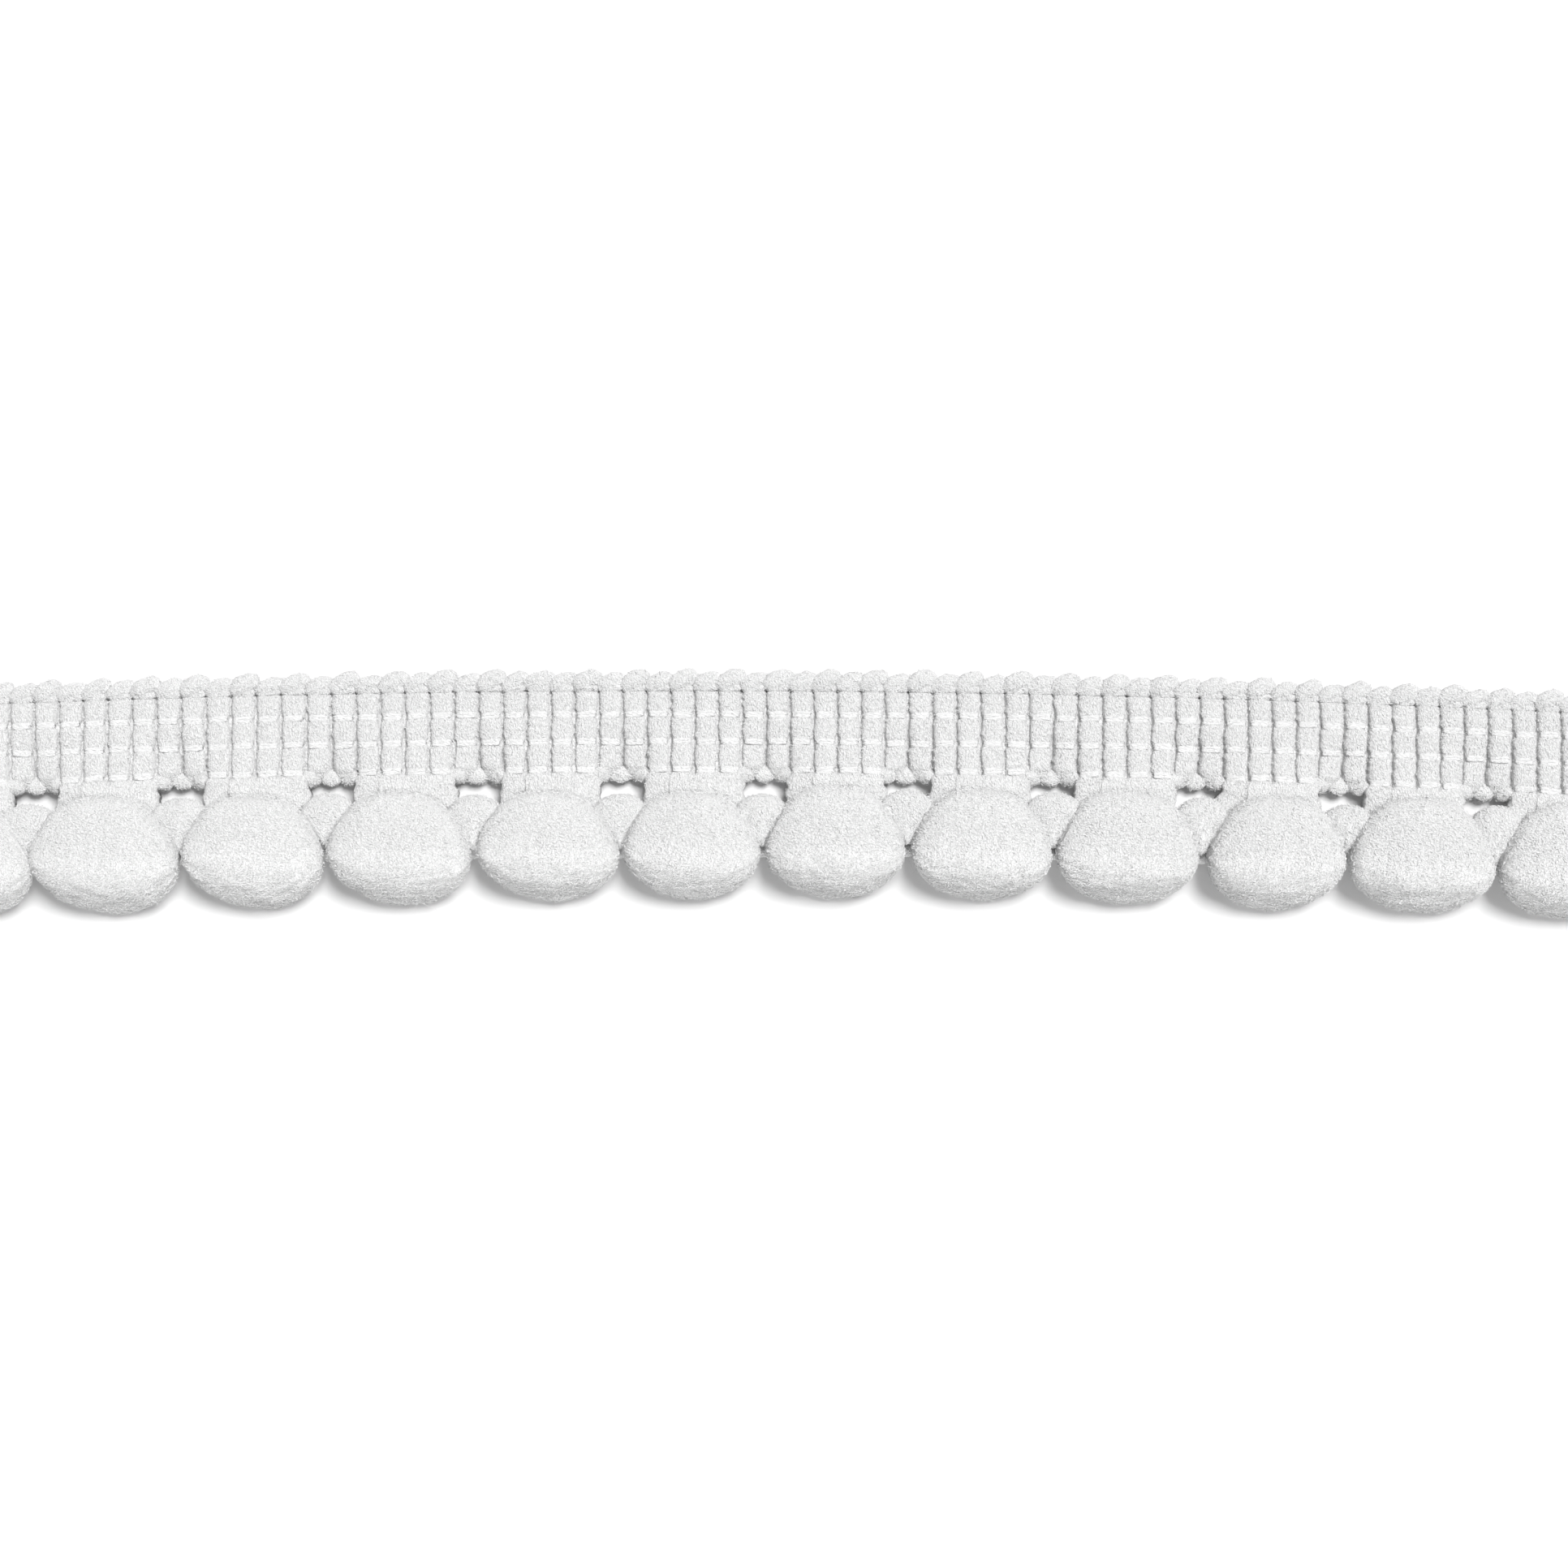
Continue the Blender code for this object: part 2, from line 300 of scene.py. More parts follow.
@dataclass(frozen=True)
class YarnFinish:
    """Bulked polyester yarn: white crimped filaments that stand up as a soft, matt, speckled felt.

    crimp is the size of a filament's crimp along X, Y and Z in millimetres, drawn a little coarser than
    the real one so that it shows. depth is how far the filaments stand out of the yarn and pull how far
    they are drawn askew. The speckle of the colour follows the crimp's height: the shade colour is painted
    shade in its hollows and the light colour painted light on its crests, and contrast is the height at
    which the colour is quite light or dark. strata is the strength of the flattened layers on a pompom's
    lower side, whose creases are painted darker as well, and evenness is how far the filaments turn the
    light up. The IOR is polyester's.
    """

    name: str
    light: str = "#FBFBFB"
    shade: str = "#DCDCDC"
    crimp: tuple[float, float, float] = (0.30, 0.30, 0.30)
    depth: float = 0.13
    pull: float = 1.3
    contrast: float = 0.35
    roughness: float = 0.92
    sheen: float = 0.2
    sheen_roughness: float = 0.6
    specular: float = 0.25
    ior: float = 1.57
    evenness: float = 0.9
    strata: float = 0.0
    layer_size: tuple[float, float, float] = (1.3, 0.3, 0.3)
    layer_gain: float = 0.35

    def material(self) -> bpy.types.Material:
        """Makes the material.

        Returns:
            A node material that reads Object coordinates.
        """
        material = bpy.data.materials.new(self.name)
        material.use_nodes = True
        tree = material.node_tree
        shader = tree.nodes["Principled BSDF"]
        place = add_node(tree, "ShaderNodeTexCoord").outputs["Object"]
        crimped = self.scaled(tree, place, self.crimp)
        fine_crimp = {"Vector": crimped, "Scale": 0.7, "Detail": 2.0, "Roughness": 0.6, "Distortion": 0.6}
        fine = add_node(tree, "ShaderNodeTexNoise", fine_crimp)
        askew = {0: fine.outputs["Color"], 1: (self.pull,) * 3, 2: crimped}
        pulled = add_node(tree, "ShaderNodeVectorMath", askew, operation="MULTIPLY_ADD").outputs[0]
        cells = {"Vector": pulled, "Scale": 1.0}
        curls = add_node(tree, "ShaderNodeTexVoronoi", cells, feature="F1").outputs["Distance"]
        curled = {0: curls, 1: -1.0, 2: fine.outputs["Fac"]}
        height = add_node(tree, "ShaderNodeMath", curled, operation="MULTIPLY_ADD").outputs[0]
        if self.strata:
            height = self.add_strata(tree, place, height)
        # The colour follows the crimp's height too: painted shade in its hollows and painted light on its
        # crests, on a yarn that is white all over.
        reach = {"Value": height, "From Min": -self.contrast, "From Max": self.contrast}
        colour = add_node(tree, "ShaderNodeMapRange", reach)
        shades = {0: colour.outputs[0], 6: linear(self.shade), 7: linear(self.light)}
        painted_shading = add_node(tree, "ShaderNodeMix", shades, data_type="RGBA")
        normal = self.soft_normal(tree)
        raised = {"Height": height, "Distance": self.depth * MM, "Strength": 1.0, "Normal": normal}
        bump = add_node(tree, "ShaderNodeBump", raised)
        tree.links.new(painted_shading.outputs[2], shader.inputs["Base Color"])
        tree.links.new(bump.outputs["Normal"], shader.inputs["Normal"])
        constants = {
            "Roughness": self.roughness,
            "Sheen Weight": self.sheen,
            "Sheen Roughness": self.sheen_roughness,
            "Specular IOR Level": self.specular,
            "IOR": self.ior,
        }
        set_sockets(shader, constants)
        return material

    def scaled(self, tree: bpy.types.NodeTree, place: object, size: tuple[float, float, float]) -> object:
        """Scales coordinates so that a pattern has its real size.

        Args:
            tree: The material's nodes.
            place: The coordinates.
            size: The pattern's size along X, Y and Z in millimetres.

        Returns:
            The scaled coordinates.
        """
        scale = [1 / (part * MM) for part in size]
        return add_node(tree, "ShaderNodeMapping", {"Vector": place, "Scale": scale}).outputs["Vector"]

    def soft_normal(self, tree: bpy.types.NodeTree) -> object:
        """Turns the normal towards the trim's face, as filaments that stand out every way are lit evenly.

        Args:
            tree: The material's nodes.

        Returns:
            The normal.
        """
        up = {0: (0, 0, self.evenness)}
        face = add_node(tree, "ShaderNodeVectorTransform", up, vector_type="VECTOR", convert_from="OBJECT")
        own = add_node(tree, "ShaderNodeNewGeometry").outputs["Normal"]
        both = add_node(tree, "ShaderNodeVectorMath", {0: own, 1: face.outputs[0]}, operation="ADD")
        unit = add_node(tree, "ShaderNodeVectorMath", {0: both.outputs[0]}, operation="NORMALIZE")
        return unit.outputs[0]

    def add_strata(self, tree: bpy.types.NodeTree, place: object, height: object) -> object:
        """Adds the flattened layers of filaments that run from tip to tip on a pompom's lower side.

        Args:
            tree: The material's nodes.
            place: The Object coordinates.
            height: The height of the crimp.

        Returns:
            The height with the layers added. It sets the colour too, so the layers' creases are painted
            shade, stronger where the attribute strata is high.
        """
        layers = self.scaled(tree, place, self.layer_size)
        drawn = {"Vector": layers, "Scale": 1.0, "Detail": 2.0, "Distortion": 0.4}
        bands = add_node(tree, "ShaderNodeTexNoise", drawn).outputs["Fac"]
        share = add_node(tree, "ShaderNodeAttribute", attribute_name="strata").outputs["Fac"]
        centred = add_node(tree, "ShaderNodeMath", {0: bands, 1: 0.5}, operation="SUBTRACT").outputs[0]
        added = {0: centred, 1: self.strata, 2: height}
        banded = add_node(tree, "ShaderNodeMath", added, operation="MULTIPLY_ADD").outputs[0]
        # Where strata is high the height, and with it the painted shade and light of the colour, is made
        # stronger.
        gain = {0: share, 1: self.layer_gain, 2: 1.0}
        stronger = add_node(tree, "ShaderNodeMath", gain, operation="MULTIPLY_ADD").outputs[0]
        layered = add_node(tree, "ShaderNodeMath", {0: banded, 1: stronger}, operation="MULTIPLY")
        mixed = {0: share, 2: height, 3: layered.outputs[0]}
        return add_node(tree, "ShaderNodeMix", mixed, data_type="FLOAT").outputs[0]


@dataclass(frozen=True)
class Fuzz:
    """Short loops of single filaments that stand out of a yarn: each is one arc of a thin strand.

    loop is an arc's radius, strand its half width and lowest_root the least height that it starts from, in
    millimetres. lean is how far it may be turned and opening how far it goes past a half circle at each
    end, in radians. lowest_face is the least upward part of the normal where loops grow.
    """

    name: str
    per_square_mm: float
    loop: float = 0.09
    strand: float = 0.022
    lowest_root: float = 0.25
    lean: float = 1.2
    opening: float = 0.2
    arc_steps: int = 4
    sizes: tuple[float, float] = (0.5, 1.4)
    lowest_face: float = -0.15
    seed: int = 1
    keeps_yarn: bool = True

    def nodes(self, material: bpy.types.Material) -> bpy.types.NodeTree:
        """Makes the node group that plants the loops where the yarn faces up or sideways.

        Args:
            material: What the loops are made of.

        Returns:
            A geometry node group that returns the loops, all real, with the yarn if it keeps it.
        """
        tree = bpy.data.node_groups.new(self.name, "GeometryNodeTree")
        tree.interface.new_socket("Geometry", in_out="INPUT", socket_type="NodeSocketGeometry")
        tree.interface.new_socket("Geometry", in_out="OUTPUT", socket_type="NodeSocketGeometry")
        bare = add_node(tree, "NodeGroupInput").outputs[0]
        normal = add_node(tree, "GeometryNodeInputNormal")
        facing_up = add_node(tree, "ShaderNodeSeparateXYZ", {0: normal.outputs[0]}).outputs["Z"]
        seen = add_node(tree, "FunctionNodeCompare", {0: facing_up, 1: self.lowest_face})
        place = add_node(tree, "GeometryNodeInputPosition")
        height = add_node(tree, "ShaderNodeSeparateXYZ", {0: place.outputs[0]}).outputs["Z"]
        off_table = add_node(tree, "FunctionNodeCompare", {0: height, 1: self.lowest_root * MM})
        chosen = add_node(tree, "FunctionNodeBooleanMath", {0: seen.outputs[0], 1: off_table.outputs[0]})
        ground = {
            "Mesh": bare,
            "Selection": chosen.outputs[0],
            "Density": self.per_square_mm / MM**2,
            "Seed": self.seed,
        }
        planted = add_node(tree, "GeometryNodeDistributePointsOnFaces", ground)
        bow = {
            "Resolution": self.arc_steps,
            "Radius": self.loop * MM,
            "Start Angle": -self.opening,
            "Sweep Angle": math.pi + 2 * self.opening,
        }
        arc = add_node(tree, "GeometryNodeCurveArc", bow)
        standing = {"Geometry": arc.outputs[0], "Rotation": (math.pi / 2, 0, 0)}
        upright = add_node(tree, "GeometryNodeTransform", standing)
        flat_strand = {"Start": (-self.strand * MM, 0, 0), "End": (self.strand * MM, 0, 0)}
        band = add_node(tree, "GeometryNodeCurvePrimitiveLine", flat_strand)
        swept = {"Curve": upright.outputs[0], "Profile Curve": band.outputs[0]}
        loop = add_node(tree, "GeometryNodeCurveToMesh", swept)
        most = (self.lean, self.lean, math.pi)
        turns = {0: [-part for part in most], 1: most, "Seed": self.seed + 1}
        turn = add_node(tree, "FunctionNodeRandomValue", turns, data_type="FLOAT_VECTOR")
        turned = add_node(tree, "FunctionNodeEulerToRotation", {0: turn.outputs[0]})
        both = {0: planted.outputs["Rotation"], 1: turned.outputs[0]}
        facing = add_node(tree, "FunctionNodeRotateRotation", both, rotation_space="LOCAL")
        grown = {2: self.sizes[0], 3: self.sizes[1], "Seed": self.seed + 2}
        size = add_node(tree, "FunctionNodeRandomValue", grown)
        stood = {
            "Points": planted.outputs["Points"],
            "Instance": loop.outputs[0],
            "Rotation": facing.outputs[0],
            "Scale": size.outputs[1],
        }
        placed = add_node(tree, "GeometryNodeInstanceOnPoints", stood)
        real = add_node(tree, "GeometryNodeRealizeInstances", {0: placed.outputs[0]})
        dressed = add_node(tree, "GeometryNodeSetMaterial", {0: real.outputs[0], "Material": material})
        joined = add_node(tree, "GeometryNodeJoinGeometry")
        tree.links.new(dressed.outputs[0], joined.inputs[0])
        if self.keeps_yarn:
            tree.links.new(bare, joined.inputs[0])
        add_node(tree, "NodeGroupOutput", {0: joined.outputs[0]})
        return tree


@dataclass(frozen=True)
class Section:
    """A cross-section of a yarn: its middle on the straight trim, its half width and its half height."""

    middle: Vector
    half_width: float
    half_height: float


def skin(bm: bmesh.types.BMesh, rings: list[list[Vector]]) -> None:
    """Adds a closed skin over a row of rings, and merges the points that fall together.

    Args:
        bm: The mesh that takes it.
        rings: Its rings in order, each with the same number of points.
    """
    last = len(rings) - 1
    around = len(rings[0])
    made = bmesh.ops.create_grid(bm, x_segments=last, y_segments=around, size=1)
    for vert in made["verts"]:
        row = round((vert.co.x + 1) / 2 * last)
        number = round((vert.co.y + 1) / 2 * around) % around
        vert.co = rings[row][number]
    bmesh.ops.remove_doubles(bm, verts=made["verts"], dist=MERGE_WITHIN)


def on_ball(point: Vector, axis: int) -> tuple[float, float, float, float]:
    """Reads a point of a ball of radius 1 that has its poles along X or Y.

    Args:
        point: The point.
        axis: 0 for poles along X, 1 for poles along Y.

    Returns:
        Its place from pole to pole, the radius of its ring, and its place on the ring, sideways and up.
    """
    pole = max(-1.0, min(1.0, point[axis]))
    ring = math.sqrt(max(1e-9, 1 - pole * pole))
    if ring <= TINY:
        return pole, ring, 0.0, 0.0
    return pole, ring, point[1 - axis] / ring, point.z / ring


def superellipse(angle: float, squareness: float) -> tuple[float, float]:
    """A point of a squarish ring of half width and half height 1.

    Args:
        angle: Where on the ring, in radians.
        squareness: The exponent: 2 is a circle, more is squarer.

    Returns:
        Its place across and up.
    """
    across, up = (
        math.copysign(abs(part) ** (2 / squareness), part) for part in (math.cos(angle), math.sin(angle))
    )
    return across, up


def sweep(bm: bmesh.types.BMesh, sections: list[Section], sides: int, squareness: float = 2.0) -> None:
    """Adds a closed yarn that runs through its sections, which shrink to nothing at both ends.

    Args:
        bm: The mesh that takes it.
        sections: Its cross-sections in order.
        sides: How many sides it has.
        squareness: The exponent of its cross-section: 2 is an ellipse, more is squarer.
    """
    outline = [superellipse(math.tau * side / sides, squareness) for side in range(sides)]
    rings = []
    for number, section in enumerate(sections):
        ahead = sections[min(len(sections) - 1, number + 1)].middle - sections[max(0, number - 1)].middle
        sideways = ahead.cross(Vector((0, 0, 1))).normalized() * section.half_width
        upwards = sideways.cross(ahead).normalized() * section.half_height
        rings.append([section.middle + sideways * across + upwards * up for across, up in outline])
    skin(bm, rings)


def rounded(distance: float, radius: float) -> float:
    """How full a yarn is near its round end.

    Args:
        distance: How far from the end.
        radius: How long the round end is.

    Returns:
        0 at the end and 1 from one radius on.
    """
    share = min(1.0, max(0.0, distance / radius))
    return math.sqrt(1 - (1 - share) ** 2)


def roughen(bm: bmesh.types.BMesh, size: float, depth: float, seed: float) -> None:
    """Moves every point a little, as soft yarn never lies quite even.

    Args:
        bm: The mesh on the straight trim.
        size: The size of the unevenness in millimetres.
        depth: How far a point moves at most.
        seed: Where in the noise it is read.
    """
    offset = Vector((seed, seed * 0.7, 0))
    for vert in bm.verts:
        vert.co += noise.noise_vector(vert.co / size + offset) * depth


class Wardrobe:
    """Every finish and fuzz of the trim, made once."""

    def __init__(self) -> None:
        """Makes the materials and the fuzz."""
        # Each finish's light colour is painted light on the crests of its crimp and its shade colour
        # painted shade in the hollows.
        self.ribs = YarnFinish(
            "bulked_polyester_ribs", light="#FBFBFB", shade="#DADADA", crimp=(0.12, 0.18, 0.12), depth=0.1
        ).material()
        self.picot = YarnFinish("bulked_polyester_loops", crimp=(0.13, 0.13, 0.13), depth=0.09).material()
        self.pompom = YarnFinish(
            "puffed_polyester", crimp=(0.15, 0.13, 0.13), depth=0.1, strata=1.3
        ).material()
        self.puff = YarnFinish("fanned_polyester", crimp=(0.125, 0.14, 0.125), depth=0.1).material()
        self.thread = YarnFinish(
            "filament_chain_thread",
            light="#FDFDFD",
            shade="#EBEBEB",
            crimp=(0.3, 0.1, 0.1),
            depth=0.07,
            roughness=0.6,
        ).material()
        self.strand = YarnFinish("single_filament", light="#F4F4F4", shade="#E6E6E6", depth=0.0).material()
        self.napped = Fuzz("napped_ribs", 9.0, seed=3, lowest_face=0.2, keeps_yarn=False).nodes(self.strand)
        self.napped_thread = Fuzz("napped_thread", 12.0, loop=0.07, seed=5).nodes(self.strand)
        self.thick = Fuzz("looped_edges", 16.0, loop=0.1, seed=7).nodes(self.strand)
        self.felted = Fuzz("felted_pompoms", 18.0, loop=0.11, seed=11).nodes(self.strand)


@dataclass
class Maker:
    """Turns meshes into finished pieces of the trim."""

    lie: Lie
    made: list[str] = field(default_factory=list)

    def piece(
        self,
        name: str,
        bm: bmesh.types.BMesh,
        material: bpy.types.Material,
        slot: Slot,
        fuzz: bpy.types.NodeTree | None = None,
        replaces: Iterable[str] = (),
    ) -> bpy.types.Object:
        """Bends a mesh on the arch and makes it a piece that rides on the trim.

        Args:
            name: The piece's name.
            bm: Its mesh on the straight trim. It is freed.
            material: What it is made of.
            slot: Its material slot in the record. It is not used.
            fuzz: The loops that stand out of it.
            replaces: The nodes that it stands for.

        Returns:
            The piece.
        """
        self.lie.bend(bm)
        bmesh.ops.recalc_face_normals(bm, faces=bm.faces)
        mesh = bpy.data.meshes.new(name)
        bm.to_mesh(mesh)
        bm.free()
        mesh.shade_smooth()
        mesh.materials.append(material)
        piece = bpy.data.objects.new(name, mesh)
        bpy.context.scene.collection.objects.link(piece)
        if fuzz:
            modifier = piece.modifiers.new("fuzz", "NODES")
            modifier.node_group = fuzz
        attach(piece, "root")
        if replaces:
            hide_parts(*replaces)
        self.made.append(name)
        log.info("%s: %d faces before its fuzz", name, len(mesh.polygons))
        return piece


@dataclass
class Assembly:
    """A part of the trim: how it lies, what makes its pieces and what they are dressed in."""

    lie: Lie
    maker: Maker
    wardrobe: Wardrobe


@dataclass(frozen=True)
class Rib:
    """One of the heading's fat weft ribs: its number in its repeat, its middle and its pitch."""

    number: int
    middle: float
    pitch: float


@dataclass
class Heading(Assembly):
    """The knitted band: fat weft ribs held by chain rows, with necks, turn loops and a picot edge.

    Sizes are in millimetres. Rows, tops and feet are places across the trim. trough is how far a chain
    row pinches its ribs on each side and relief how far a rib stands over the ground: less by the share
    neck_flattened on a neck and hole_closing beside a hole. leg_reach is a share of a rib's pitch.
    """

    chain_rows: tuple[float, float, float] = (-2.02, -4.17, -6.4)
    trough: float = 0.29
    pinch_depth: float = 0.15
    rib_top: float = 0.0
    rib_foot: float = -6.95
    gap: float = 0.06
    waver: float = 0.13
    columns: int = 14
    row_step: float = 0.17
    squareness: float = 2.8
    ground_height: float = 0.82
    relief: float = 0.79
    hole_reach: float = 1.2
    hole_closing: float = 0.5
    neck_top: float = -6.3
    neck_foot: float = -11.9
    neck_row_step: float = 0.2
    neck_lift: float = 0.3
    neck_flattened: float = 0.45
    neck_filled: float = 0.85
    frayed: float = 0.4
    dome_top: float = -8.0
    dome_groove: float = 0.34
    leg_steps: int = 10
    leg_reach: float = 0.405
    leg_spread: float = 0.105
    leg_half_width: float = 0.17
    leg_half_height: float = 0.11
    lump_period: float = 1.62
    picot_length: float = 2.75
    picot_slant_deg: float = 32.0
    seed: int = 20

    def __post_init__(self) -> None:
        """Seeds the random draws."""
        self.dice = random.Random(self.seed)

    def build(self) -> None:
        """Makes every piece of the heading."""
        band = self.maker.piece(
            "heading_band", self.band(), self.wardrobe.ribs, Slot.HEADING, replaces=["heading"]
        )
        dress = self.wardrobe
        self.maker.piece("heading_fuzz", self.band(), dress.ribs, Slot.HEADING, dress.napped)
        self.maker.piece("chain_stitches", self.chain(), dress.thread, Slot.HEADING, dress.napped_thread)
        self.maker.piece("turn_loops", self.turn_loops(), dress.picot, Slot.HEADING, dress.thick)
        self.maker.piece("picot_loops", self.picot(), dress.picot, Slot.PICOT, dress.thick, ["picot_edge"])

    def all_ribs(self) -> list[Rib]:
        """Every rib of the heading, from the left."""
        found = []
        for index, row in enumerate(REPEATS):
            pitch = row.length / RIBS_PER_REPEAT
            for number in range(RIBS_PER_REPEAT):
                found.append(Rib(number, self.lie.starts[index] + (number + 0.5) * pitch, pitch))
        return found

    def band(self) -> bmesh.types.BMesh:
        """The band with its ribs, and a neck of four ribs down to each pompom, as one mesh.

        Returns:
            Its mesh on the straight trim.
        """
        bm = bmesh.new()
        ribs = self.all_ribs()
        rows = round((self.rib_top - self.rib_foot) / self.row_step)
        rings = []
        for row in range(rows + 1):
            t = self.rib_top + (self.rib_foot - self.rib_top) * row / rows
            full = min(rounded(self.rib_top - t, 0.28), rounded(t - self.rib_foot, 0.45))
            edges = [(rib.middle - rib.pitch / 2, rib.middle + rib.pitch / 2) for rib in ribs]
            rings.append(self.ring(edges, t, full, 0.0))
        skin(bm, rings)
        for index in range(len(REPEATS)):
            skin(bm, self.neck(index))
        roughen(bm, 0.3, 0.05, 3.1)
        return bm

    def neck(self, index: int) -> list[list[Vector]]:
        """The four middle ribs of a repeat, which merge and run down to their pompom.

        Args:
            index: Which repeat.

        Returns:
            The neck's rings.
        """
        start = self.lie.starts[index]
        pitch = REPEATS[index].length / RIBS_PER_REPEAT
        rows = round((self.neck_top - self.neck_foot) / self.neck_row_step)
        rings = []
        for row in range(rows + 1):
            t = self.neck_top + (self.neck_foot - self.neck_top) * row / rows
            full = min(rounded(self.neck_top - t, 0.3), rounded(t - self.neck_foot, 0.8))
            spread = 0.1 * smooth(-6.5, -7.0, t) + 0.14 * smooth(-7.0, -8.2, t)
            frayed = self.frayed * smooth(-6.8, -7.3, t)
            ragged = [frayed * noise.noise(Vector((start + side * 9, t / 0.6, 4))) for side in (0, 1)]
            left = start + pitch - spread + ragged[0]
            right = start + 5 * pitch + spread + ragged[1]
            if t < self.dome_top:
                left = min(left, self.lie.pompom_side(index, -1, t) - 0.1)
                beyond = 0.4 if index < len(FANS) else -0.3
                right = max(right, self.lie.pompom_side(index, 1, t) + beyond)
            inner = [start + (2 + number) * pitch for number in range(3)]
            bounds = [left, *inner, right]
            edges = list(zip(bounds[:-1], bounds[1:]))
            rings.append(self.ring(edges, t, full, smooth(-6.5, -7.0, t), index))
        return rings

    def ring(
        self,
        edges: list[tuple[float, float]],
        t: float,
        full: float,
        merged: float,
        pompom: int | None = None,
    ) -> list[Vector]:
        """A cut through the band along the trim: the ribs on top and the flat back below.

        Args:
            edges: The left and right end of each rib.
            t: Where the cut is across the trim.
            full: From 0, where the band ends, to 1.
            merged: From 0 for ribs of their own to 1 where they have run together.
            pompom: The pompom whose dome the ribs dip under.

        Returns:
            The ring's points.
        """
        pinch = max(1 / (1 + (abs(t - row) / self.trough) ** 3) for row in self.chain_rows)
        pinch *= 1 - merged
        top, under = [], []
        for number, (left, right) in enumerate(edges):
            middle = (left + right) / 2
            inner = (number > 0, number < len(edges) - 1)
            filled = [self.neck_filled * merged * side for side in inner]
            waver = [noise.noise(Vector((middle * 3.1, t / 0.33, edge * 5.0))) for edge in (0, 1)]
            pinched = self.gap * (1 + 1.8 * pinch)
            inset = [(pinched + self.waver * part) * (1 - merged) * full for part in waver]
            half = (right - left - sum(inset)) / 2
            centre = middle + (inset[0] - inset[1]) / 2
            ends = [self.rib_back(left, right, s, t) for s in (left, right)]
            closing = self.hole_closing * smooth(-6.1, -6.6, t) if self.beside_hole(middle) else 0.0
            thick = (self.ground_height + self.neck_lift * merged) * full
            uneven = 1 - self.pinch_depth * pinch + 0.09 * waver[0]
            high = self.relief * (1 - self.neck_flattened * merged) * uneven * full * (1 - closing)
            for column in range(self.columns + 1):
                back = ends[0] + (ends[1] - ends[0]) * column / self.columns
                corner = (left, t, ends[0]) if column < self.columns / 2 else (right, t, ends[1])
                under.append(Vector(corner))
                if full < TINY:
                    top.append(Vector(corner))
                else:
                    across, up = superellipse(math.pi * (1 - column / self.columns), self.squareness)
                    s = centre + half * across
                    z = back + thick + high * max(0.0, up, filled[across > 0])
                    top.append(Vector((s, t, z - full * self.groove(pompom, s, t))))
        return top + under[::-1]

    def groove(self, pompom: int | None, s: float, t: float) -> float:
        """Finds how far a neck dips where its pompom's dome rises over it.

        Args:
            pompom: The pompom, or None for the band itself.
            s: Where along the trim.
            t: Where across it.

        Returns:
            The depth in millimetres.
        """
        if pompom is None:
            return 0.0
        u = (s - self.lie.pompom_middle(pompom)) / REPEATS[pompom].half_width
        dome = self.lie.pompom_plan(pompom, max(-0.95, min(0.95, u)), 1)[1]
        return self.dome_groove * smooth(dome + 0.35, dome - 0.1, t)

    def beside_hole(self, s: float) -> bool:
        """Whether a place along the trim is over a hole or beside it."""
        return min(abs(s - start) for start in self.lie.starts) < self.hole_reach

    def rib_back(self, left: float, right: float, s: float, t: float) -> float:
        """Finds the height of a rib's back, which is straight from its left to its right end.

        Args:
            left: Its left end along the trim.
            right: Its right end.
            s: Where along the trim.
            t: Where across it.

        Returns:
            The height in millimetres.
        """
        first, last = (self.lie.back(end, max(t, -7.4)) for end in (left, right))
        return first + (last - first) * (s - left) / (right - left)

    def chain(self) -> bmesh.types.BMesh:
        """The chain stitches that hold each rib down: a link of two thread legs for each rib and row.

        Returns:
            Their mesh on the straight trim.
        """
        bm = bmesh.new()
        for rib in self.all_ribs():
            for row_number, row in enumerate(self.chain_rows):
                if row_number == 2 and rib.number in (0, 5):
                    continue
                tilt = math.radians(self.dice.gauss(1.0, 2.0))
                shift = self.dice.gauss(0, 0.03)
                for side in (-1, 1):
                    sweep(bm, self.leg(rib, row + shift, tilt, side), 6)
        return bm

    def leg(self, rib: Rib, row: float, tilt: float, side: int) -> list[Section]:
        """One leg of a chain link, which lies over its rib and dives into the gaps beside it.

        Args:
            rib: Its rib.
            row: Where its row is across the trim.
            tilt: How far it is turned, in radians.
            side: -1 or 1 for its two legs.

        Returns:
            Its sections.
        """
        spread = self.leg_spread * self.dice.uniform(0.75, 1.25)
        sections = []
        for share in shares(self.leg_steps):
            along = 2 * share - 1
            s = rib.middle + along * rib.pitch * self.leg_reach
            t = row + side * spread * (1 - 0.6 * along**4) + (s - rib.middle) * math.tan(tilt)
            t += 0.05 * noise.noise(Vector((s * 2.2, row, side * 7)))
            crest = self.ground_height + self.relief * 0.87 - 0.4 * along**8 - 0.05 * along**2
            z = self.rib_back(rib.middle - rib.pitch / 2, rib.middle + rib.pitch / 2, s, row) + crest
            thick = rounded(1 - abs(along), 0.15)
            middle = Vector((s, t, z))
            sections.append(Section(middle, self.leg_half_width * thick, self.leg_half_height * thick))
        return sections

